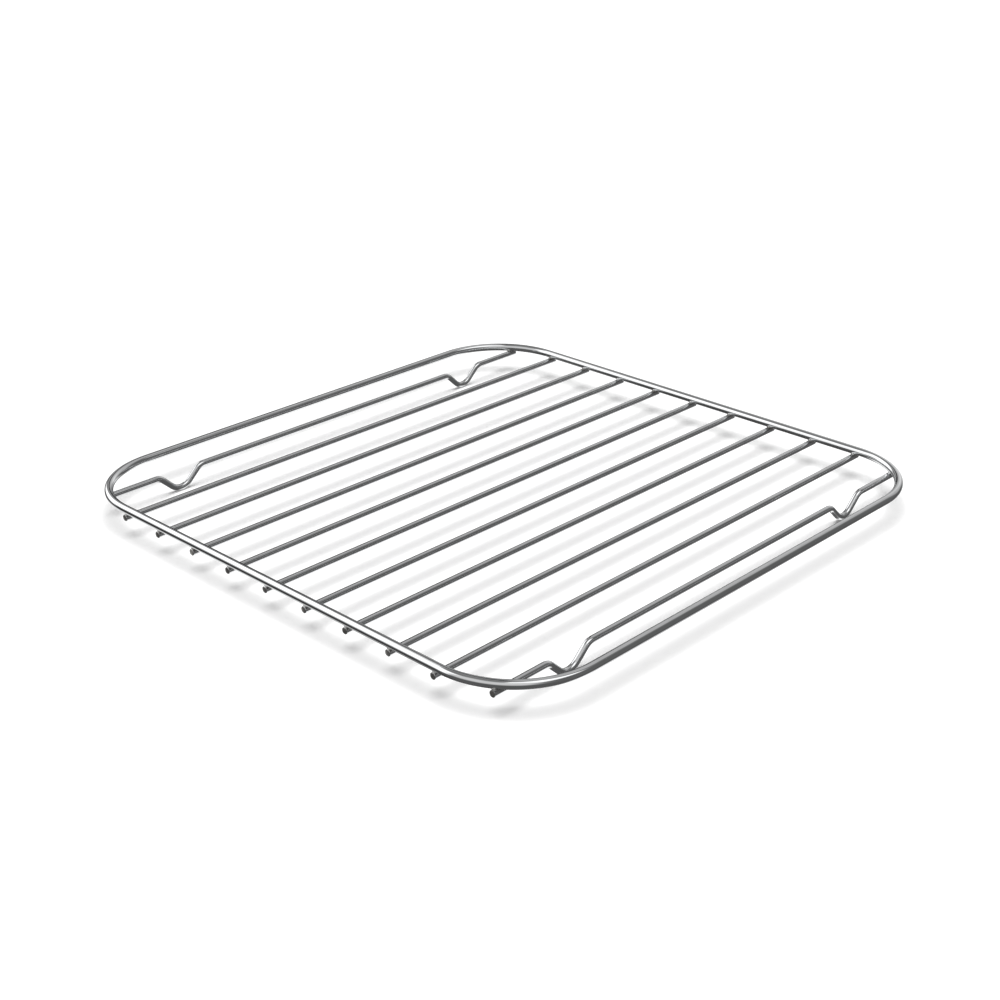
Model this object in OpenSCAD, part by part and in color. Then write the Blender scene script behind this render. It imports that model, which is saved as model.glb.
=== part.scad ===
// Wire grill grate that lies flat in an oven or a grill pan.
// One heavy wire is bent into a rounded square rim. Thinner bars run from front
// to back under it, each welded to the rim where the two wires cross. The first
// and the last bar are bent down in two places and are the feet.
// Origin: on the surface that the feet stand on, below the middle of the rim.
// X runs across the bars, Y along them and Z up. Millimetres.

/* [Rim] */
// Outer length of the rim along the bars
rim_length = 290; // [260:5:420]
// Outer width of the rim across the bars
rim_width = 289; // [275:1:420]
// Diameter of the rim wire
rim_wire_d = 4; // [3:0.5:6]
// Radius of the rim's corners, measured to the middle of the wire
rim_corner_r = 40; // [20:1:48]

/* [Bars] */
// Diameter of the wire that the bars and the feet are made of
bar_wire_d = 3; // [2:0.25:4]
// Distance from one bar to the next, middle to middle
bar_pitch = 25; // [15:0.5:26]
// How far a straight bar runs past the middle of the rim wire at each end
bar_end_past_rim = 2; // [1.5:0.1:8]
// How far the straight bars sit off the middle, towards the back of the rim
bar_shift = 0.7; // [0:0.1:0.9]
// Width of the bevel round each cut wire end
wire_end_bevel = 0.3; // [0.1:0.05:0.6]
// How deep a bar is pressed into the rim wire where it is welded
weld_depth = 0.1; // [0.05:0.05:0.3]

/* [Feet] */
// Distance between the two feet of one foot bar
foot_spacing = 192.5; // [120:0.5:200]
// How far a foot dips below the straight part of its bar
foot_drop = 8.1; // [6:0.1:16]
// Slope of a foot's two legs, from level
foot_leg_angle = 43; // [35:1:55]
// Bend radius where a leg leaves the bar, to the middle of the wire
foot_top_bend_r = 6; // [4.5:0.5:8]
// Bend radius at the bottom of a foot, to the middle of the wire
foot_bottom_bend_r = 7.5; // [4.5:0.5:10]
// How far a foot bar runs past the middle of the rim wire at each end
foot_end_past_rim = 1.9; // [1.2:0.1:6]

/* [Hidden] */
$fn = 72;

// Number of straight bars between the two foot bars
cross_bar_count = 9;

rim_wire_r = rim_wire_d / 2;
bar_wire_r = bar_wire_d / 2;

// Half sizes of the rim, measured to the middle of its wire
rim_half_x = rim_width / 2 - rim_wire_r;
rim_half_y = rim_length / 2 - rim_wire_r;
// Middle of a corner's arc, for the corner at +X and +Y
corner_x = rim_half_x - rim_corner_r;
corner_y = rim_half_y - rim_corner_r;

// Heights of the wires' middles above the surface that the feet stand on
bar_z = bar_wire_r + foot_drop;
rim_z = bar_z + bar_wire_r + rim_wire_r - weld_depth;

// The foot bars take the place next to the outermost straight bars
foot_bar_x = (cross_bar_count + 1) / 2 * bar_pitch;

// Rounds a value to a whole number of steps
function snap(value, step) = round(value / step) * step;

// One foot, seen from the side: two bends at the top, two legs, one bend below.
// The leg and the level middle of a foot bar are whole steps of length long.
length_step = 0.01;
bend_fall = (foot_top_bend_r + foot_bottom_bend_r) * (1 - cos(foot_leg_angle));
bend_run = (foot_top_bend_r + foot_bottom_bend_r) * sin(foot_leg_angle);
leg_length = snap((foot_drop - bend_fall) / sin(foot_leg_angle), length_step / 10);
foot_rise = bend_fall + leg_length * sin(foot_leg_angle);
foot_half_span = bend_run + leg_length * cos(foot_leg_angle);
level_half_length = snap(foot_spacing / 2 - foot_half_span, length_step);

// Middle of the rim wire along Y, at a distance x from the middle of the rim
function rim_y_at(x) =
    abs(x) <= corner_x
        ? rim_half_y
        : corner_y + sqrt(pow(rim_corner_r, 2) - pow(abs(x) - corner_x, 2));

// A straight wire along +Z from the origin, with a bevelled end where a bevel is given
module rod(length, radius, bevel_start = 0, bevel_end = 0)
{
    rotate_extrude()
        polygon([
            [0, 0],
            [radius - bevel_start, 0],
            if (bevel_start > 0) [radius, bevel_start],
            if (bevel_end > 0) [radius, length - bevel_end],
            [radius - bevel_end, length],
            [0, length]
        ]);
}

// A bend in the XY plane round the origin, from one angle on through a sweep
module bend(bend_radius, wire_radius, from_angle, sweep)
{
    rotate_extrude(angle = sweep, start = from_angle)
        translate([bend_radius, 0])
            circle(wire_radius);
}

// Moves by a coarse step and then by the small rest, so that no digit of a long
// fraction is lost and wires that are placed apart still meet face to face
module move(offset)
{
    coarse = [for (part = offset) snap(part, length_step)];
    translate(coarse)
        translate(offset - coarse)
            children();
}

// Turns about Z by a coarse step and then by the small rest, for the same reason
module turn(angle)
{
    c = snap(cos(angle), 0.000001);
    s = snap(sin(angle), 0.000001);
    multmatrix([
        [c, -s, 0, 0],
        [s, c, 0, 0],
        [0, 0, 1, 0],
        [0, 0, 0, 1]
    ])
        rotate([0, 0, angle - atan2(s, c)])
            children();
}

// One side of the rim that runs along X, and one that runs along Y
module rim_side_x()
{
    translate([-corner_x, 0, 0])
        rotate([0, 90, 0])
            rod(2 * corner_x, rim_wire_r);
}

module rim_side_y()
{
    translate([0, -corner_y, 0])
        rotate([-90, 0, 0])
            rod(2 * corner_y, rim_wire_r);
}

// The closed rim: four straight sides that meet four quarter bends face to face
module rim_loop()
{
    translate([0, 0, rim_z]) {
        for (side = [-1, 1]) {
            translate([0, side * rim_half_y, 0])
                rim_side_x();
            translate([side * rim_half_x, 0, 0])
                rim_side_y();
        }
        translate([corner_x, corner_y, 0])
            bend(rim_corner_r, rim_wire_r, 0, 90);
        translate([-corner_x, corner_y, 0])
            bend(rim_corner_r, rim_wire_r, 90, 90);
        translate([-corner_x, -corner_y, 0])
            bend(rim_corner_r, rim_wire_r, 180, 90);
        translate([corner_x, -corner_y, 0])
            bend(rim_corner_r, rim_wire_r, 270, 90);
    }
}

module rim_wire()
{
    color([0.78, 0.79, 0.80])
        rim_loop();
}

// One straight bar: a rod from front to back, with a seat for the rim wire at each end
module cross_bar(index)
{
    x = (index - (cross_bar_count + 1) / 2) * bar_pitch;
    half_length = rim_y_at(x) + bar_end_past_rim;
    color([0.70, 0.71, 0.72])
        difference() {
            translate([x, bar_shift - half_length, bar_z])
                rotate([-90, 0, 0])
                    rod(2 * half_length, bar_wire_r, wire_end_bevel, wire_end_bevel);
            rim_loop();
        }
}

// A straight stretch of bar in the side view, from the origin along +X
module bar_stretch(length, end_bevel = 0)
{
    rotate([0, 90, 0])
        rod(length, bar_wire_r, 0, end_bevel);
}

// One side of a foot: the leg and the bend that brings the bar back to level
module foot_side()
{
    move([
        foot_bottom_bend_r * sin(foot_leg_angle),
        foot_bottom_bend_r * (1 - cos(foot_leg_angle)),
        0
    ])
        turn(foot_leg_angle)
            bar_stretch(leg_length);
    move([foot_half_span, foot_rise - foot_top_bend_r, 0])
        bend(foot_top_bend_r, bar_wire_r, 90, foot_leg_angle);
}

// A whole foot in the side view, with the middle of its lowest wire on the origin
module foot()
{
    translate([0, foot_bottom_bend_r, 0])
        bend(
            foot_bottom_bend_r,
            bar_wire_r,
            270 - foot_leg_angle,
            2 * foot_leg_angle
        );
    foot_side();
    mirror([1, 0, 0])
        foot_side();
}

// A foot bar in the side view, its level parts and feet, with the given half length
module foot_bar_side_view(half_length)
{
    foot_middle = level_half_length + foot_half_span;
    level_outer = foot_middle + foot_half_span;
    move([-level_half_length, foot_rise, 0])
        bar_stretch(2 * level_half_length);
    for (end = [0, 1])
        mirror([end, 0, 0]) {
            move([foot_middle, 0, 0])
                foot();
            move([level_outer, foot_rise, 0])
                bar_stretch(half_length - level_outer, wire_end_bevel);
        }
}

// A foot bar in its place, side is -1 for the left one and 1 for the right one
module foot_bar(side)
{
    x = side * foot_bar_x;
    color([0.66, 0.67, 0.68])
        difference() {
            translate([x, 0, bar_z - foot_rise])
                rotate([90, 0, 90])
                    foot_bar_side_view(rim_y_at(x) + foot_end_past_rim);
            rim_loop();
        }
}

rim_wire();
foot_bar(-1);  // foot_bar_left
foot_bar(1);  // foot_bar_right
cross_bar(1);  // cross_bar_1
cross_bar(2);  // cross_bar_2
cross_bar(3);  // cross_bar_3
cross_bar(4);  // cross_bar_4
cross_bar(5);  // cross_bar_5
cross_bar(6);  // cross_bar_6
cross_bar(7);  // cross_bar_7
cross_bar(8);  // cross_bar_8
cross_bar(9);  // cross_bar_9
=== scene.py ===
"""Looks of a chromed wire grill grate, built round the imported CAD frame.

The grate is twelve wires: a heavy one bent into a rounded square rim, nine thinner
bars under it and two foot bars with two bends each for the grate to stand on. Every
wire is a circle carried along a planar route, worked out with numpy. Where two wires
are welded, both surfaces swell into a small fillet. Lengths are metres, angles radians
unless a name says degrees.
"""

import logging
import math
from dataclasses import dataclass, field
from enum import Enum

import bpy
import numpy as np
from mathutils import Matrix, Vector


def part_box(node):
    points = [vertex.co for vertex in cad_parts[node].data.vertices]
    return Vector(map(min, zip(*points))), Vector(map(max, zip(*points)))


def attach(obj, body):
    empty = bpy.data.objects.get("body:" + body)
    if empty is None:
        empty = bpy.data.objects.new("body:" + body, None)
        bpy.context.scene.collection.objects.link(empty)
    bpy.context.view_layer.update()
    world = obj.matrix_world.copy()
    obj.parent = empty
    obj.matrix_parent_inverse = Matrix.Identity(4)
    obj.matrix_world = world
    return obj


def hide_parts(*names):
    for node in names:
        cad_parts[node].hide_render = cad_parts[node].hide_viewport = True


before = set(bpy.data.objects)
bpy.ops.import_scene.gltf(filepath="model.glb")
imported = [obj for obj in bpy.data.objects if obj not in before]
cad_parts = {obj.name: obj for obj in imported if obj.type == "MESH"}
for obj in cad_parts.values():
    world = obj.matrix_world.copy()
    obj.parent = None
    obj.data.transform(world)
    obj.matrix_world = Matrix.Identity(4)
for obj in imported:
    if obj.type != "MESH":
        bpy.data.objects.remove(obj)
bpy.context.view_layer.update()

BODY = "root"
MM = 0.001
MICROMETRE = 0.000001
WHITE = (1.0, 1.0, 1.0, 1.0)

Array = np.ndarray
Value = float | tuple | bpy.types.NodeSocket
log = logging.getLogger("grill_grate")


class Slot(Enum):
    """The record's material slots."""

    RIM = "rim_chrome"
    BAR = "bar_chrome"


class End(Enum):
    """Which end of an open wire."""

    START = 0
    FINISH = 1


@dataclass(frozen=True)
class Stretch:
    """One piece of a planar route: a straight one, or an arc where turn isn't 0.

    Fields:
        length: length along the middle of the wire.
        turn: angle that the heading gains over the stretch, counter-clockwise.
    """

    length: float
    turn: float = 0.0


@dataclass(frozen=True)
class Route:
    """Middle line of a wire in a plane, made of straight stretches and arcs.

    Fields:
        origin: point where the route starts.
        ahead: unit vector of the first heading.
        aside: unit vector in the plane, a quarter turn counter-clockwise from ahead.
        stretches: the stretches in order.
        closed: whether the last point meets the first.
    """

    origin: Array
    ahead: Array
    aside: Array
    stretches: tuple[Stretch, ...]
    closed: bool = False

    @property
    def length(self) -> float:
        """Length of the whole route."""
        return sum(stretch.length for stretch in self.stretches)

    def corners(self) -> Array:
        """Distances along the route at which one stretch ends and the next begins."""
        return np.concatenate([[0.0], np.cumsum([stretch.length for stretch in self.stretches])])

    def at(self, along: Array) -> tuple[Array, Array, Array]:
        """Points and directions at the given distances along the route.

        On an arc of radius R the heading grows evenly, so the point moves by
        R (sin h - sin h0) ahead and by R (cos h0 - cos h) aside.

        Args:
            along: distances from the start, each from 0 to the route's length.

        Returns:
            Points, unit tangents and unit in-plane normals, one row for each distance.
        """
        flat = np.zeros((len(along), 2))
        heading = np.zeros(len(along))
        start, angle, place = 0.0, 0.0, np.zeros(2)
        for stretch in self.stretches:
            here = (along >= start - 1e-12)
            run = np.clip(along[here] - start, 0.0, stretch.length)
            flat[here] = place + self._moved(stretch, angle, run)
            heading[here] = angle + stretch.turn * run / stretch.length
            place = place + self._moved(stretch, angle, np.array([stretch.length]))[0]
            angle += stretch.turn
            start += stretch.length
        points = self.origin + flat[:, :1] * self.ahead + flat[:, 1:] * self.aside
        cosine, sine = np.cos(heading)[:, None], np.sin(heading)[:, None]
        return points, cosine * self.ahead + sine * self.aside, cosine * self.aside - sine * self.ahead

    @staticmethod
    def _moved(stretch: Stretch, angle: float, run: Array) -> Array:
        """Steps ahead and aside after a run along a stretch that starts at a heading."""
        if stretch.turn == 0.0:
            return run[:, None] * np.array([math.cos(angle), math.sin(angle)])
        radius = stretch.length / stretch.turn
        turned = angle + run / radius
        return radius * np.stack(
            [np.sin(turned) - math.sin(angle), math.cos(angle) - np.cos(turned)], axis=1
        )


@dataclass(frozen=True)
class RimShape:
    """Middle line and thickness of the rim, as a shape that distances are measured to."""

    half_x: float
    half_y: float
    corner: float
    height: float
    radius: float

    def distance(self, points: Array) -> Array:
        """Distance from points to the rim wire's surface, negative inside the wire.

        In plan the rim is a rectangle with rounded corners, so the distance to its
        middle line is that of a box with its corner radius taken off; height and that
        distance then give the distance to the wire as in a right-angled triangle.
        """
        beyond = np.abs(points[..., :2]) - np.array([self.half_x - self.corner, self.half_y - self.corner])
        outside = np.linalg.norm(np.maximum(beyond, 0.0), axis=-1)
        plan = outside + np.minimum(beyond.max(axis=-1), 0.0) - self.corner
        return np.hypot(plan, points[..., 2] - self.height) - self.radius


@dataclass(frozen=True)
class BarShape:
    """A straight length of bar along Y, as a shape that distances are measured to."""

    x: float
    low_y: float
    high_y: float
    height: float
    radius: float

    def distance(self, points: Array) -> Array:
        """Distance from points to the bar's surface, with flat ends, negative inside."""
        across = np.hypot(points[..., 0] - self.x, points[..., 2] - self.height) - self.radius
        beyond = np.maximum(self.low_y - points[..., 1], points[..., 1] - self.high_y)
        outside = np.hypot(np.maximum(across, 0.0), np.maximum(beyond, 0.0))
        return outside + np.minimum(np.maximum(across, beyond), 0.0)


@dataclass(frozen=True)
class Weld:
    """Fillet of squeezed metal where a wire is welded to another one."""

    reach: float = 0.9 * MM
    settle_rounds: int = 6

    def swell(self, points: Array, outward: Array, others: list) -> Array:
        """Moves a wire's skin out to the smooth union of the wire and its neighbours.

        The smooth union of distances a and b is the lesser of the two, less
        h h k / 4 with h = max(k - |a - b|, 0) / k and k the fillet's reach. A point of
        the skin moves out along its normal until that value is 0 there.

        Args:
            points: the skin's points.
            outward: unit normals at those points.
            others: shapes with a distance method that this wire is welded to.

        Returns:
            The moved points.
        """
        lift = np.zeros(points.shape[:-1])
        for other in others:
            rise = np.zeros(points.shape[:-1])
            near = np.abs(other.distance(points)) < self.reach
            for _ in range(self.settle_rounds):
                gap = other.distance(points + rise[..., None] * outward)
                share = np.maximum(self.reach - np.abs(rise - gap), 0.0) / self.reach
                union = np.minimum(rise, gap) - share**2 * self.reach / 4
                rise = np.where(near & (gap > -self.reach / 4), rise - union, rise)
            lift = np.maximum(lift, np.clip(rise, 0.0, self.reach / 4))
        return points + lift[..., None] * outward


@dataclass(frozen=True)
class Cut:
    """Sheared end of a wire: a rolled edge and a face that leans a little.

    Fields:
        edge: radius of the rolled edge.
        lean: slope of the face.
        lean_turn: direction in which the face leans, round the wire.
        crown: height of the face's middle above its edge.
    """

    edge: float = 0.22 * MM
    lean: float = 0.06
    lean_turn: float = 0.0
    crown: float = 0.05 * MM


def cuts_of_bar(number: int) -> tuple[Cut, Cut]:
    """Near and far cut of a straight bar: each leans its own way, by 0.03 to 0.09."""
    leans = [0.03 + 0.06 * math.sin(number * step) ** 2 for step in (1.7, 2.9)]
    turns = [number * step for step in (2.4, 3.9)]
    near, far = (Cut(lean=lean, lean_turn=turn) for lean, turn in zip(leans, turns))
    return near, far


@dataclass(frozen=True)
class Trim:
    """How the cutter left a foot bar's ends, against the even ends of its solid.

    Fields:
        near: extra length at the near end.
        far: extra length at the far end.
        near_cut: form of the near end.
    """

    near: float
    far: float
    near_cut: Cut


@dataclass
class Wire:
    """A round wire that follows a route, with rolled cut ends if the route is open."""

    name: str
    route: Route
    radius: float
    slot: Slot
    cad_node: str
    welded_to: list = field(default_factory=list)
    weld_spots: tuple[float, ...] = ()
    start_cut: Cut = Cut()
    finish_cut: Cut = Cut()
    sides: int = 48
    straight_step: float = 4.0 * MM
    arc_step: float = 0.7 * MM
    weld_step: float = 0.14 * MM
    weld_window: float = 3.4 * MM
    weld_glow: float = 1.8 * MM
    edge_rings: int = 6
    face_rings: int = 5

    def stations(self) -> Array:
        """Distances along the route at which the wire has a ring of points."""
        marks = [self.route.corners()]
        start = 0.0
        for stretch in self.route.stretches:
            step = self.arc_step if stretch.turn else self.straight_step
            count = max(2, math.ceil(stretch.length / step) + 1)
            marks.append(start + np.linspace(0.0, stretch.length, count))
            start += stretch.length
        for spot in self.weld_spots:
            marks.append(np.arange(spot - self.weld_window, spot + self.weld_window, self.weld_step))
        low = 0.0 if self.route.closed else self.start_cut.edge
        high = self.route.length - (0.0 if self.route.closed else self.finish_cut.edge)
        along = np.unique(np.round(np.clip(np.concatenate(marks), low, high), 8))
        keep = np.concatenate([[True], np.diff(along) > self.weld_step / 3])
        along = along[keep]
        along[-1] = high
        return along[:-1] if self.route.closed else along

    def skin(self) -> tuple[Array, Array, Array]:
        """The wire's side as a grid: a circle of the wire's radius carried along the route.

        Returns:
            Points and outward normals by ring and side, and the rings' distances.
        """
        along = self.stations()
        middle, _, normal = self.route.at(along)
        binormal = np.cross(self.route.ahead, self.route.aside)
        turn = np.arange(self.sides) * (2 * math.pi / self.sides)
        outward = (
            np.cos(turn)[None, :, None] * normal[:, None, :]
            + np.sin(turn)[None, :, None] * binormal
        )
        points = middle[:, None, :] + self.radius * outward
        return Weld().swell(points, outward, self.welded_to), outward, along

    def end_rings(self, end: End) -> Array:
        """Rings of a cut end, from its middle to the wire's side.

        Over the rolled edge the ring's radius falls from R to R - e as the sine and
        cosine of one quarter turn; over the face it falls evenly to 0, and the face
        leans by its slope and rises by its crown towards the middle.

        Args:
            end: the end to make.

        Returns:
            Points by ring and side, the ring nearest the middle first.
        """
        cut = self.start_cut if end is End.START else self.finish_cut
        sign = -1.0 if end is End.START else 1.0
        tip = 0.0 if end is End.START else self.route.length
        middle, tangent, normal = (v[0] for v in self.route.at(np.array([tip])))
        binormal = np.cross(self.route.ahead, self.route.aside)
        turn = np.arange(self.sides) * (2 * math.pi / self.sides)
        face = np.linspace(0.0, 1.0, self.face_rings + 1)[1:] * (self.radius - cut.edge)
        roll = np.linspace(0.0, math.pi / 2, self.edge_rings + 1)[1:-1]
        radii = np.concatenate([face, self.radius - cut.edge + cut.edge * np.sin(roll)])
        drop = np.concatenate([np.zeros(len(face)), cut.edge * (1.0 - np.cos(roll))])
        crown = cut.crown * (1.0 - (radii / self.radius) ** 2)
        lean = cut.lean * (radii[:, None] * np.cos(turn - cut.lean_turn) - self.radius)
        outward = (
            np.cos(turn)[None, :, None] * normal + np.sin(turn)[None, :, None] * binormal
        )
        depth = -drop[:, None] + lean - cut.crown + crown[:, None]
        return middle + radii[:, None, None] * outward + sign * depth[..., None] * tangent

    def surface(self) -> tuple[Array, Array, Array]:
        """The whole wire as a mesh.

        Returns:
            Points, quads by their four corners, and distances along the wire for each
            ring with the end rings included.
        """
        skin, _, along = self.skin()
        if self.route.closed:
            return skin.reshape(-1, 3), grid_quads(len(along), self.sides, True), along
        first = self.end_rings(End.START)
        last = self.end_rings(End.FINISH)[::-1]
        rings = np.concatenate([first, skin, last])
        along = np.concatenate(
            [np.full(len(first), along[0]), along, np.full(len(last), along[-1])]
        )
        return rings.reshape(-1, 3), grid_quads(len(rings), self.sides, False), along

    def weld_share(self, points: Array) -> Array:
        """How near each point is to a weld: 1 at the joint, falling evenly to 0."""
        gaps = np.array([other.distance(points) for other in self.welded_to])
        return np.clip(1.0 - gaps.min(axis=0) / self.weld_glow, 0.0, 1.0)

    def build(self, material: bpy.types.Material) -> bpy.types.Object:
        """Makes the wire's object, which takes the place of its CAD node.

        Args:
            material: the wire's finish.

        Returns:
            The new object, at the origin.
        """
        points, quads, along = self.surface()
        rings = len(along)
        faces = [tuple(quad) for quad in quads.tolist()]
        cut = np.zeros(rings)
        if not self.route.closed:
            last = len(points) - self.sides
            centres = [points[: self.sides].mean(axis=0), points[last:].mean(axis=0)]
            points = np.concatenate([points, np.array(centres)])
            ring = np.arange(self.sides)
            ahead = (ring + 1) % self.sides
            start_fan = np.stack([ahead, ring, np.full(self.sides, len(points) - 2)], axis=1)
            finish_fan = np.stack([last + ring, last + ahead, np.full(self.sides, len(points) - 1)], axis=1)
            faces += [tuple(corner) for corner in np.concatenate([start_fan, finish_fan]).tolist()]
            cut[: self.face_rings] = 1.0
            cut[-self.face_rings:] = 1.0
        mesh = bpy.data.meshes.new(self.name)
        mesh.from_pydata(points.tolist(), [], faces)
        mesh.materials.append(material)
        mesh.polygons.foreach_set("use_smooth", np.ones(len(mesh.polygons), dtype=bool))
        add_wire_map(mesh, quads, along, self)
        cut_share = np.concatenate([np.repeat(cut, self.sides), np.ones(len(points) - rings * self.sides)])
        add_share(mesh, "cut", cut_share)
        add_share(mesh, "weld", self.weld_share(points))
        mesh.update()
        piece = bpy.data.objects.new(self.name, mesh)
        bpy.context.scene.collection.objects.link(piece)
        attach(piece, BODY)
        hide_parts(self.cad_node)
        log.info("%s: %d points, %d faces", self.name, len(points), len(mesh.polygons))
        return piece


def grid_quads(rings: int, sides: int, closed: bool) -> Array:
    """Quads of a tube whose points lie ring by ring.

    Args:
        rings: number of rings.
        sides: number of points in a ring.
        closed: whether the last ring joins the first.

    Returns:
        Four point numbers for each quad, turned so that the faces point outwards.
    """
    ring, side = np.meshgrid(np.arange(rings if closed else rings - 1), np.arange(sides), indexing="ij")
    after, beside = (ring + 1) % rings, (side + 1) % sides
    corners = [ring * sides + side, ring * sides + beside, after * sides + beside, after * sides + side]
    return np.stack(corners, axis=-1).reshape(-1, 4)


def add_wire_map(mesh: bpy.types.Mesh, quads: Array, along: Array, wire: Wire) -> None:
    """Adds a UV map in metres: across is the way round the wire, up is the way along it.

    A quad's far side is one step on from its near side, also where the circle or a
    closed route comes back to its start, so no face has a pattern that runs backwards.

    Args:
        mesh: the wire's mesh, with its quads first and the faces at its poles last.
        quads: the quads by their four points.
        along: distance along the wire of each ring.
        wire: the wire, for its sides, radius and length.
    """
    ring, side = np.divmod(quads[:, 0], wire.sides)
    step = 2 * math.pi * wire.radius / wire.sides
    across = np.stack([side, side + 1, side + 1, side], axis=1) * step
    reach = np.append(along, wire.route.length)
    up = np.stack([reach[ring], reach[ring], reach[ring + 1], reach[ring + 1]], axis=1)
    spread = np.stack([across.ravel(), up.ravel()], axis=1)
    places = np.zeros((len(mesh.loops), 2))
    places[: len(spread)] = spread
    mesh.uv_layers.new(name="wire").data.foreach_set("uv", places.ravel())


def add_share(mesh: bpy.types.Mesh, name: str, share: Array) -> None:
    """Adds a value for each point, from 0 to 1, that a finish reads by its name."""
    mesh.attributes.new(name, "FLOAT", "POINT").data.foreach_set("value", share)


@dataclass(frozen=True)
class Graph:
    """A node tree, with short calls for the nodes that the finishes are made of."""

    tree: bpy.types.NodeTree

    def add(self, kind: str, inputs: dict | None = None, **settings: object) -> bpy.types.Node:
        """Adds a node.

        Args:
            kind: the node's type.
            inputs: for an input's name or number, a plain value or a socket to link.
            settings: the node's own properties.

        Returns:
            The new node.
        """
        node = self.tree.nodes.new(kind)
        for name, value in settings.items():
            setattr(node, name, value)
        for name, value in (inputs or {}).items():
            if isinstance(value, bpy.types.NodeSocket):
                self.tree.links.new(value, node.inputs[name])
            else:
                node.inputs[name].default_value = value
        return node

    def math(self, operation: str, *values: Value) -> bpy.types.NodeSocket:
        """Result of one sum on the given values or sockets."""
        return self.add("ShaderNodeMath", dict(enumerate(values)), operation=operation).outputs[0]

    def blend(self, share: Value, low: Value, high: Value) -> bpy.types.NodeSocket:
        """Value that goes from low to high as the share goes from 0 to 1."""
        return self.add("ShaderNodeMix", {0: share, 2: low, 3: high}, data_type="FLOAT").outputs[0]

    def tint(self, share: Value, low: Value, high: Value) -> bpy.types.NodeSocket:
        """Colour that goes from low to high as the share goes from 0 to 1."""
        return self.add("ShaderNodeMix", {0: share, 6: low, 7: high}, data_type="RGBA").outputs[2]

    def noise(self, place: Value, size: float, detail: float) -> bpy.types.NodeSocket:
        """Cloudy value from 0 to 1 whose clouds have about the given size in metres."""
        inputs = {"Vector": place, "Scale": 1.0 / size, "Detail": detail}
        return self.add("ShaderNodeTexNoise", inputs).outputs[0]

    def ramp(self, value: Value, low: Value, high: Value) -> bpy.types.NodeSocket:
        """Smooth step of a value: 0 below low, 1 above high."""
        inputs = {"Value": value, "From Min": low, "From Max": high}
        return self.add("ShaderNodeMapRange", inputs, interpolation_type="SMOOTHSTEP").outputs[0]


def make_group(name: str, inputs: dict[str, str], outputs: dict[str, str]) -> tuple[Graph, dict, dict]:
    """Makes a shader node group with named sockets.

    Args:
        name: the group's name.
        inputs: kind of each input: Float, Vector or Color.
        outputs: kind of each output, likewise.

    Returns:
        The group's graph, the sockets that bring its inputs and those that take its outputs.
    """
    group = bpy.data.node_groups.new(name, "ShaderNodeTree")
    for way, sockets in (("INPUT", inputs), ("OUTPUT", outputs)):
        for label, kind in sockets.items():
            group.interface.new_socket(name=label, in_out=way, socket_type=f"NodeSocket{kind}")
    given = group.nodes.new("NodeGroupInput")
    result = group.nodes.new("NodeGroupOutput")
    return (
        Graph(group),
        {label: given.outputs[label] for label in inputs},
        {label: result.inputs[label] for label in outputs},
    )


@dataclass(frozen=True)
class DrawnLines:
    """Faint lines that the drawing die leaves along a wire, and its slow waviness.

    Fields:
        width: width of a line.
        stretch: how many times longer than wide a line is.
        depth: depth of a line, in micrometres.
        wave: length of the slow waves.
        wave_depth: depth of the slow waves, in micrometres.
    """

    width: float = 0.22 * MM
    stretch: float = 70.0
    depth: float = 1.1
    wave: float = 7.0 * MM
    wave_depth: float = 9.0

    def group(self) -> bpy.types.NodeTree:
        """Node group with the height of the lines and waves, in micrometres.

        The way round the wire, divided by its radius, is an angle; its cosine and
        sine, with the way along the wire pressed together, give a place with no seam.
        """
        graph, given, result = make_group(
            "DrawnLines", {"Map": "Vector", "Radius": "Float"}, {"Height": "Float", "Streak": "Float"}
        )
        split = graph.add("ShaderNodeSeparateXYZ", {0: given["Map"]})
        turn = graph.math("DIVIDE", split.outputs[0], given["Radius"])
        east = graph.math("MULTIPLY", graph.math("COSINE", turn), given["Radius"])
        north = graph.math("MULTIPLY", graph.math("SINE", turn), given["Radius"])
        pressed = graph.math("DIVIDE", split.outputs[1], self.stretch)
        place = graph.add("ShaderNodeCombineXYZ", {0: east, 1: north, 2: pressed}).outputs[0]
        whole = graph.add("ShaderNodeCombineXYZ", {0: east, 1: north, 2: split.outputs[1]}).outputs[0]
        streak = graph.noise(place, self.width, 2.0)
        wave = graph.noise(whole, self.wave, 1.0)
        height = graph.math(
            "MULTIPLY_ADD", streak, self.depth, graph.math("MULTIPLY", wave, self.wave_depth)
        )
        graph.tree.links.new(height, result["Height"])
        graph.tree.links.new(streak, result["Streak"])
        return graph.tree


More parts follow.
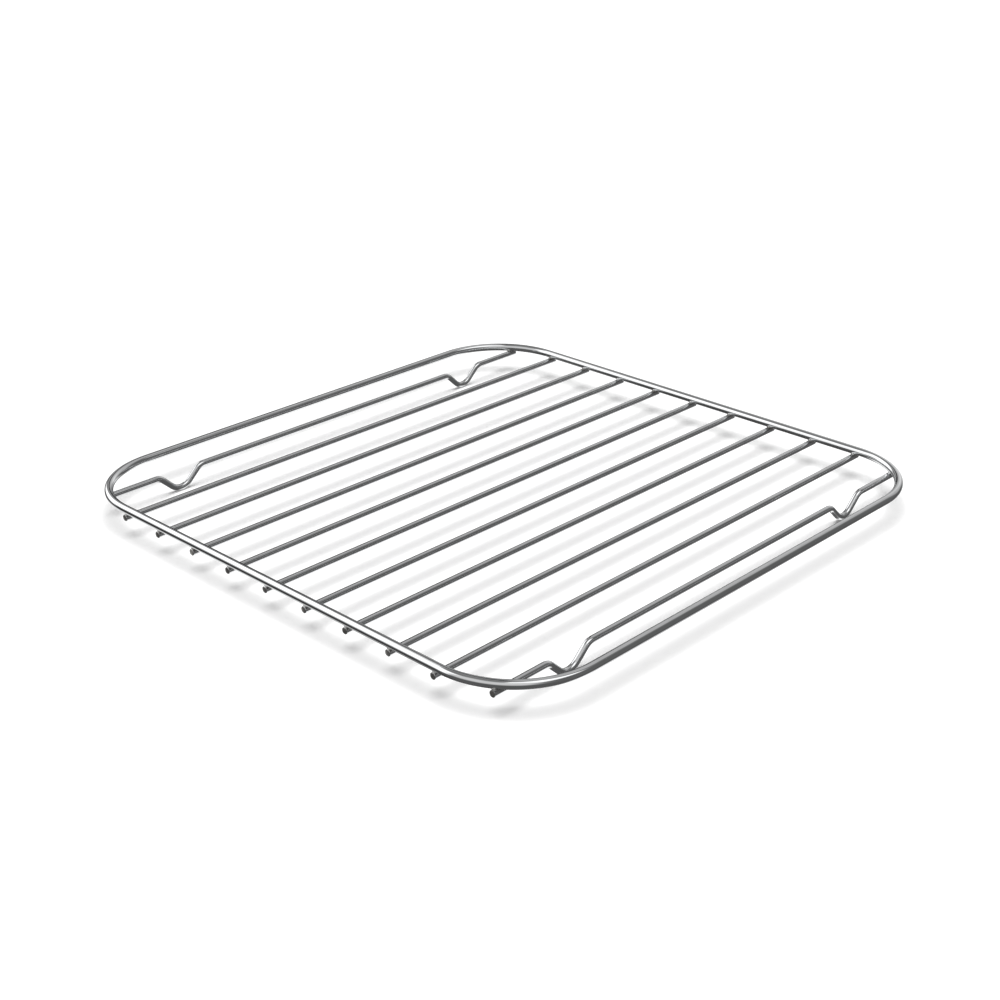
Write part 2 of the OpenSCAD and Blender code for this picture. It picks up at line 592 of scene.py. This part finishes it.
@dataclass(frozen=True)
class PlatingWear:
    """Small faults of the plating: haze, pits, thin plating at welds, dull cut faces.

    Fields:
        haze: size of the clouds of haze.
        pit_spacing: distance between two places where a pit may be.
        pit_size: a pit's radius as a share of that distance.
        pit_depth: a pit's depth, in micrometres.
        haze_rough: roughness that haze adds.
        weld_rough: roughness that a weld adds.
        cut_rough: roughness that a cut face adds.
    """

    haze: float = 9.0 * MM
    pit_spacing: float = 2.4 * MM
    pit_size: float = 0.055
    pit_depth: float = 14.0
    haze_rough: float = 0.035
    weld_rough: float = 0.12
    cut_rough: float = 0.24

    def group(self) -> bpy.types.NodeTree:
        """Node group with the plating's colour, roughness and the height of its pits.

        A pit is where the distance to the nearest of many scattered points is small
        and a second cloud is dense, so that only some of the points have one.
        """
        graph, given, result = make_group(
            "PlatingWear",
            {
                "Place": "Vector", "Weld": "Float", "Cut": "Float", "Streak": "Float",
                "Bright": "Color", "Dull": "Color", "Smooth": "Float",
            },
            {"Color": "Color", "Roughness": "Float", "Height": "Float"},
        )
        haze = graph.noise(given["Place"], self.haze, 3.0)
        cells = graph.add(
            "ShaderNodeTexVoronoi", {"Vector": given["Place"], "Scale": 1.0 / self.pit_spacing}
        ).outputs["Distance"]
        near = graph.math("SUBTRACT", 1.0, graph.ramp(cells, self.pit_size / 2, self.pit_size))
        some = graph.ramp(graph.noise(given["Place"], self.haze / 2, 0.0), 0.52, 0.6)
        pit = graph.math("MULTIPLY", near, some)
        ragged = graph.math("MULTIPLY", given["Weld"], graph.ramp(haze, 0.25, 0.65))
        dull = graph.math("MAXIMUM", graph.math("MAXIMUM", ragged, given["Cut"]), pit)
        clouded = graph.math("MULTIPLY_ADD", graph.ramp(haze, 0.35, 0.75), 0.12, dull)
        share = graph.math("MINIMUM", clouded, 1.0)
        rough = graph.math("MULTIPLY_ADD", haze, self.haze_rough, given["Smooth"])
        rough = graph.math("MULTIPLY_ADD", given["Streak"], self.haze_rough / 2, rough)
        rough = graph.math("MULTIPLY_ADD", ragged, self.weld_rough, rough)
        rough = graph.math("MULTIPLY_ADD", given["Cut"], self.cut_rough, rough)
        links = graph.tree.links
        links.new(graph.tint(share, given["Bright"], given["Dull"]), result["Color"])
        links.new(rough, result["Roughness"])
        links.new(graph.math("MULTIPLY", pit, -self.pit_depth), result["Height"])
        return graph.tree


@dataclass(frozen=True)
class Chrome:
    """Finish of plated, drawn wire: smooth, bright and faintly lined along the wire."""

    name: str
    radius: float
    bright: tuple[float, float, float]
    dull: tuple[float, float, float]
    smooth: float

    def build(self, lines: bpy.types.NodeTree, wear: bpy.types.NodeTree) -> bpy.types.Material:
        """Makes the material.

        Args:
            lines: the node group of the drawn lines.
            wear: the node group of the plating's faults.

        Returns:
            The new material.
        """
        material = bpy.data.materials.new(self.name)
        material.use_nodes = True
        graph = Graph(material.node_tree)
        shader = material.node_tree.nodes["Principled BSDF"]
        shader.inputs["Metallic"].default_value = 1.0
        wire_map = graph.add("ShaderNodeUVMap", uv_map="wire").outputs[0]
        drawn = graph.add("ShaderNodeGroup", node_tree=lines)
        graph.tree.links.new(wire_map, drawn.inputs["Map"])
        drawn.inputs["Radius"].default_value = self.radius
        plating = graph.add("ShaderNodeGroup", node_tree=wear)
        fed = {
            "Place": graph.add("ShaderNodeTexCoord").outputs["Object"],
            "Weld": graph.add("ShaderNodeAttribute", attribute_name="weld").outputs["Fac"],
            "Cut": graph.add("ShaderNodeAttribute", attribute_name="cut").outputs["Fac"],
            "Streak": drawn.outputs["Streak"],
        }
        for label, socket in fed.items():
            graph.tree.links.new(socket, plating.inputs[label])
        plating.inputs["Bright"].default_value = (*self.bright, 1.0)
        plating.inputs["Dull"].default_value = (*self.dull, 1.0)
        plating.inputs["Smooth"].default_value = self.smooth
        height = graph.math("ADD", drawn.outputs["Height"], plating.outputs["Height"])
        bump = graph.add("ShaderNodeBump", {"Height": height, "Distance": MICROMETRE})
        graph.tree.links.new(plating.outputs["Color"], shader.inputs["Base Color"])
        graph.tree.links.new(plating.outputs["Roughness"], shader.inputs["Roughness"])
        graph.tree.links.new(bump.outputs[0], shader.inputs["Normal"])
        return material


@dataclass(frozen=True)
class Measures:
    """The grate's sizes, read off the frame, and the few that a box doesn't give."""

    corner: float = 40.0 * MM
    foot_spacing: float = 192.5 * MM
    leg_angle: float = math.radians(43.0)
    top_bend: float = 6.0 * MM
    bottom_bend: float = 7.5 * MM
    bars: int = 9

    @property
    def rim(self) -> RimShape:
        """The rim, from its node's box."""
        low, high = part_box("rim_wire")
        radius = (high.z - low.z) / 2
        return RimShape(
            half_x=(high.x - low.x) / 2 - radius,
            half_y=(high.y - low.y) / 2 - radius,
            corner=self.corner,
            height=(high.z + low.z) / 2,
            radius=radius,
        )

    def bar(self, node: str) -> BarShape:
        """A straight bar, or the level part of a foot bar, from its node's box."""
        low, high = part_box(node)
        first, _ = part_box("cross_bar_1")
        radius = (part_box("cross_bar_1")[1].x - first.x) / 2
        return BarShape(
            x=(low.x + high.x) / 2,
            low_y=low.y,
            high_y=high.y,
            height=first.z + radius,
            radius=radius,
        )

    def foot_drop(self) -> float:
        """How far a foot dips below the level part of its bar."""
        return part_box("cross_bar_1")[0].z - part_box("foot_bar_left")[0].z


@dataclass
class Rim:
    """The heavy wire bent into a rounded square and butt-welded to a closed loop."""

    shape: RimShape
    bars: list[BarShape]

    def route(self) -> Route:
        """Middle line, counter-clockwise from the middle of the right side."""
        shape = self.shape
        quarter = Stretch(shape.corner * math.pi / 2, math.pi / 2)
        side_x = Stretch(2 * (shape.half_x - shape.corner))
        side_y = Stretch(2 * (shape.half_y - shape.corner))
        half_side = Stretch(side_y.length / 2)
        return Route(
            origin=np.array([shape.half_x, 0.0, shape.height]),
            ahead=np.array([0.0, 1.0, 0.0]),
            aside=np.array([-1.0, 0.0, 0.0]),
            stretches=(half_side, quarter, side_x, quarter, side_y, quarter, side_x, quarter, half_side),
            closed=True,
        )

    def weld_spots(self, route: Route) -> tuple[float, ...]:
        """Distances along the rim at which its middle line crosses a bar."""
        along = np.linspace(0.0, route.length, 20000, endpoint=False)
        points, tangents, _ = route.at(along)
        spots: list[float] = []
        for bar in self.bars:
            off = points[:, 0] - bar.x
            crossing = np.nonzero((np.sign(off) != np.sign(np.roll(off, -1))) & (np.abs(tangents[:, 0]) > 0.1))[0]
            spots.extend(along[crossing].tolist())
        return tuple(spots)

    def wire(self) -> Wire:
        """The rim as a wire that is welded to every bar."""
        route = self.route()
        return Wire(
            name="rim",
            route=route,
            radius=self.shape.radius,
            slot=Slot.RIM,
            cad_node="rim_wire",
            welded_to=list(self.bars),
            weld_spots=self.weld_spots(route),
            sides=56,
            arc_step=1.0 * MM,
        )


@dataclass
class Bars:
    """The straight bars between the foot bars."""

    rim: RimShape
    shapes: list[BarShape]
    near_extra: float = 0.65 * MM

    def crossing(self, x: float) -> float:
        """Distance from the middle at which the rim's middle line crosses a bar."""
        beyond = abs(x) - (self.rim.half_x - self.rim.corner)
        if beyond <= 0.0:
            return self.rim.half_y
        return self.rim.half_y - self.rim.corner + math.sqrt(self.rim.corner**2 - beyond**2)

    def wires(self) -> list[Wire]:
        """One straight wire for each bar."""
        made = []
        for number, shape in enumerate(self.shapes, start=1):
            start_cut, finish_cut = cuts_of_bar(number)
            route = Route(
                origin=np.array([shape.x, shape.low_y - self.near_extra, shape.height]),
                ahead=np.array([0.0, 1.0, 0.0]),
                aside=np.array([0.0, 0.0, 1.0]),
                stretches=(Stretch(shape.high_y - shape.low_y + self.near_extra),),
            )
            start = shape.low_y - self.near_extra
            cross = self.crossing(shape.x)
            made.append(
                Wire(
                    name=f"bar_{number}",
                    route=route,
                    radius=shape.radius,
                    slot=Slot.BAR,
                    cad_node=f"cross_bar_{number}",
                    welded_to=[self.rim],
                    weld_spots=(-cross - start, cross - start),
                    start_cut=start_cut,
                    finish_cut=finish_cut,
                )
            )
        return made


@dataclass
class FootBars:
    """The two outer bars, each bent down into two feet."""

    rim: RimShape
    measures: Measures
    left: BarShape
    right: BarShape
    left_trim: Trim = Trim(near=-0.9 * MM, far=1.0 * MM, near_cut=Cut(lean=0.05))
    right_trim: Trim = Trim(near=0.7 * MM, far=1.0 * MM, near_cut=Cut(lean=0.22, lean_turn=math.radians(-150)))

    def stretches(self, half_length: float, trim: Trim) -> tuple[Stretch, ...]:
        """Stretches of a foot bar from its near end to its far end.

        A foot is a bend down, a leg, the bend at the bottom, a leg and a bend back to
        level. The legs take what the bends leave of the drop: drop = (R1 + R2)
        (1 - cos a) + leg sin a.

        Args:
            half_length: half the length of the bar's solid.
            trim: the extra lengths at its ends.

        Returns:
            The stretches in order.
        """
        sizes = self.measures
        angle = sizes.leg_angle
        radii = sizes.top_bend + sizes.bottom_bend
        leg = (sizes.foot_drop() - radii * (1 - math.cos(angle))) / math.sin(angle)
        half_span = radii * math.sin(angle) + leg * math.cos(angle)
        foot = (
            Stretch(sizes.top_bend * angle, -angle),
            Stretch(leg),
            Stretch(sizes.bottom_bend * 2 * angle, 2 * angle),
            Stretch(leg),
            Stretch(sizes.top_bend * angle, -angle),
        )
        between = Stretch(sizes.foot_spacing - 2 * half_span)
        outer = half_length - sizes.foot_spacing / 2 - half_span
        return (Stretch(outer + trim.near), *foot, between, *foot, Stretch(outer + trim.far))

    def wires(self) -> list[Wire]:
        """The left and the right foot bar."""
        crossing = Bars(self.rim, []).crossing
        made = []
        for name, shape, trim in (
            ("left", self.left, self.left_trim), ("right", self.right, self.right_trim)
        ):
            half_length = (shape.high_y - shape.low_y) / 2
            route = Route(
                origin=np.array([shape.x, shape.low_y - trim.near, shape.height]),
                ahead=np.array([0.0, 1.0, 0.0]),
                aside=np.array([0.0, 0.0, 1.0]),
                stretches=self.stretches(half_length, trim),
            )
            edge = half_length - crossing(shape.x)
            made.append(
                Wire(
                    name=f"foot_bar_{name}",
                    route=route,
                    radius=shape.radius,
                    slot=Slot.BAR,
                    cad_node=f"foot_bar_{name}",
                    welded_to=[self.rim],
                    weld_spots=(edge + trim.near, route.length - edge - trim.far),
                    start_cut=trim.near_cut,
                )
            )
        return made


@dataclass(frozen=True)
class Card:
    """A bright or dark card of the studio, as bright wire mirrors it.

    Fields:
        name: what the card is.
        bearing: direction of its middle, in degrees clockwise from the camera's heading.
        height: elevation of its middle, in degrees.
        half_width: half its width, in degrees of bearing.
        half_height: half its height, in degrees of elevation.
        edge: width of its soft edge, in degrees.
        shade: brightness, where 1 is white.
    """

    name: str
    bearing: float
    height: float
    half_width: float
    half_height: float
    edge: float
    shade: float


@dataclass
class Studio:
    """Floor, lamp, mirrored surroundings and camera."""

    camera_place: tuple[float, float, float] = (0.48379, -0.50881, 0.32758)
    camera_target: tuple[float, float, float] = (0.014838, -0.019199, 0.013208)
    camera_roll: float = math.radians(-0.0696)
    lens: float = 58.74
    sensor: float = 36.0
    floor_size: float = 12.0
    floor_shade: float = 0.95
    floor_lift: float = 0.13
    lamp_strength: float = 3.1
    lamp_spread: float = math.radians(54.0)
    room_light: float = 0.16
    room_dark: float = 0.1
    room_pale: float = 0.2
    room_low: float = -0.19
    room_high: float = 0.41
    away: float = -43.746

    def cards(self) -> list[Card]:
        """The studio's cards, later ones in front of earlier ones."""
        return [
            Card("grey back wall", 21, 43, 40, 33, 14, 0.46),
            Card("big soft box on the left", -72, 26, 40, 25, 9, 1.4),
            Card("soft box over the right shoulder", 140, 62, 53, 20, 16, 1.3),
            Card("dark flag on the right", 105, 10, 34, 29, 21, 0.12),
            Card("white strip at the back", 26, -1, 8, 31, 31, 0.9),
            Card("dark gap at the back", -7, 7, 6, 68, 9, 0.02),
            Card("white floor behind", 44, -53, 38, 9, 15, 1.2),
            Card("white floor on the left", -43, -36, 40, 11, 7, 0.9),
            Card("dark gap on the left", -83, -24, 11, 37, 22, 0.03),
            Card("pale wall behind the camera", -155, 35, 48, 27, 26, 0.66),
        ]

    def build(self) -> None:
        """Makes the whole studio."""
        self.make_floor()
        self.make_lamp()
        self.make_world()
        self.make_camera()

    def make_floor(self) -> None:
        """A plain pale floor that takes the grate's shadow and is clear from below."""
        half = self.floor_size / 2
        corners = [(-half, -half, 0), (half, -half, 0), (half, half, 0), (-half, half, 0)]
        mesh = bpy.data.meshes.new("floor")
        mesh.from_pydata(corners, [], [(0, 1, 2, 3)])
        material = bpy.data.materials.new("pale_floor")
        material.use_nodes = True
        graph = Graph(material.node_tree)
        shader = material.node_tree.nodes["Principled BSDF"]
        shader.inputs["Base Color"].default_value = (self.floor_shade,) * 3 + (1.0,)
        shader.inputs["Roughness"].default_value = 1.0
        shader.inputs["Specular IOR Level"].default_value = 0.0
        shader.inputs["Emission Color"].default_value = WHITE
        rays = graph.add("ShaderNodeLightPath")
        lift = graph.math("MULTIPLY", rays.outputs["Is Camera Ray"], self.floor_lift)
        graph.tree.links.new(lift, shader.inputs["Emission Strength"])
        below = graph.add("ShaderNodeNewGeometry").outputs["Backfacing"]
        clear = graph.add("ShaderNodeBsdfTransparent").outputs[0]
        surface = graph.add("ShaderNodeMixShader", {0: below, 1: shader.outputs[0], 2: clear})
        output = material.node_tree.nodes["Material Output"]
        graph.tree.links.new(surface.outputs[0], output.inputs["Surface"])
        mesh.materials.append(material)
        floor = bpy.data.objects.new("floor", mesh)
        bpy.context.scene.collection.objects.link(floor)
        floor.visible_glossy = False

    def make_lamp(self) -> None:
        """A wide soft lamp straight overhead."""
        lamp = bpy.data.lights.new("overhead_lamp", "SUN")
        lamp.energy = self.lamp_strength
        lamp.angle = self.lamp_spread
        holder = bpy.data.objects.new("overhead_lamp", lamp)
        holder.location = (0.0, 0.0, 1.0)
        holder.visible_glossy = False
        bpy.context.scene.collection.objects.link(holder)

    def make_world(self) -> None:
        """Surroundings: plain light for the floor, white for the camera, cards for metal."""
        world = bpy.data.worlds.new("studio")
        bpy.context.scene.world = world
        world.use_nodes = True
        world.cycles.sampling_method = "NONE"
        world.node_tree.nodes.clear()
        graph = Graph(world.node_tree)
        direction = graph.add("ShaderNodeTexCoord").outputs["Generated"]
        split = graph.add("ShaderNodeSeparateXYZ", {0: direction})
        rise = graph.ramp(split.outputs["Z"], self.room_low, self.room_high)
        mirrored = graph.blend(rise, self.room_dark, self.room_pale)
        group = self.card_group()
        for card in self.cards():
            mask = graph.add("ShaderNodeGroup", node_tree=group, label=card.name)
            graph.tree.links.new(direction, mask.inputs["Direction"])
            mask.inputs["Bearing"].default_value = math.radians(self.away + card.bearing)
            mask.inputs["Height"].default_value = math.radians(card.height)
            mask.inputs["Half Width"].default_value = math.radians(card.half_width)
            mask.inputs["Half Height"].default_value = math.radians(card.half_height)
            mask.inputs["Edge"].default_value = math.radians(card.edge)
            mirrored = graph.blend(mask.outputs["Mask"], mirrored, card.shade)
        rays = graph.add("ShaderNodeLightPath")
        light = graph.blend(rays.outputs["Is Glossy Ray"], self.room_light, mirrored)
        seen = graph.math("MAXIMUM", rays.outputs["Is Camera Ray"], rays.outputs["Is Transmission Ray"])
        strength = graph.blend(seen, light, 1.0)
        background = graph.add("ShaderNodeBackground", {"Color": WHITE, "Strength": strength})
        graph.add("ShaderNodeOutputWorld", {"Surface": background.outputs[0]})

    @staticmethod
    def card_group() -> bpy.types.NodeTree:
        """Node group: 1 inside a card and 0 outside it, by direction.

        The bearing is measured from the card's own middle, so that it never jumps
        inside the card, and both soft edges are smooth steps that are multiplied.
        """
        halves = {"Half Width": "Float", "Half Height": "Float"}
        graph, given, result = make_group(
            "StudioCard",
            {"Direction": "Vector", "Bearing": "Float", "Height": "Float", **halves, "Edge": "Float"},
            {"Mask": "Float"},
        )
        turned = graph.add(
            "ShaderNodeVectorRotate",
            {"Vector": given["Direction"], "Angle": given["Bearing"]},
            rotation_type="Z_AXIS",
        )
        split = graph.add("ShaderNodeSeparateXYZ", {0: turned.outputs[0]})
        across = graph.math("ARCTAN2", split.outputs["X"], split.outputs["Y"])
        above = graph.math("SUBTRACT", graph.math("ARCSINE", split.outputs["Z"]), given["Height"])
        outer = graph.math("MULTIPLY", given["Edge"], 0.5)
        inner = graph.math("MULTIPLY", outer, -1.0)
        masks = []
        for offset, half in zip((across, above), halves):
            inside = graph.math("SUBTRACT", given[half], graph.math("ABSOLUTE", offset))
            masks.append(graph.ramp(inside, inner, outer))
        graph.tree.links.new(graph.math("MULTIPLY", *masks), result["Mask"])
        return graph.tree

    def make_camera(self) -> None:
        """The camera, at the photograph's viewing angle."""
        lens = bpy.data.cameras.new("camera")
        lens.lens = self.lens
        lens.sensor_width = self.sensor
        camera = bpy.data.objects.new("camera", lens)
        bpy.context.scene.collection.objects.link(camera)
        look = Vector(self.camera_target) - Vector(self.camera_place)
        turn = look.to_track_quat("-Z", "Y").to_matrix().to_4x4()
        camera.matrix_world = (
            Matrix.Translation(self.camera_place) @ turn @ Matrix.Rotation(self.camera_roll, 4, "Z")
        )
        bpy.context.scene.camera = camera


def main() -> None:
    """Builds the grate and its studio."""
    logging.basicConfig(level=logging.INFO, format="%(name)s: %(message)s")
    bpy.context.scene.view_settings.view_transform = "Standard"
    measures = Measures()
    rim_shape = measures.rim
    straight = [measures.bar(f"cross_bar_{number}") for number in range(1, measures.bars + 1)]
    left, right = measures.bar("foot_bar_left"), measures.bar("foot_bar_right")
    lines, wear = DrawnLines().group(), PlatingWear().group()
    dull = (0.42, 0.41, 0.39)
    rim_finish = Chrome("rim_chrome", rim_shape.radius, (0.86, 0.87, 0.88), dull, 0.05).build(lines, wear)
    bar_finish = Chrome("bar_chrome", left.radius, (0.83, 0.84, 0.85), dull, 0.065).build(lines, wear)
    Rim(rim_shape, [left, *straight, right]).wire().build(rim_finish)
    for wire in Bars(rim_shape, straight).wires():
        wire.build(bar_finish)
    for wire in FootBars(rim_shape, measures, left, right).wires():
        wire.build(bar_finish)
    Studio().build()


if __name__ == "__main__":
    main()
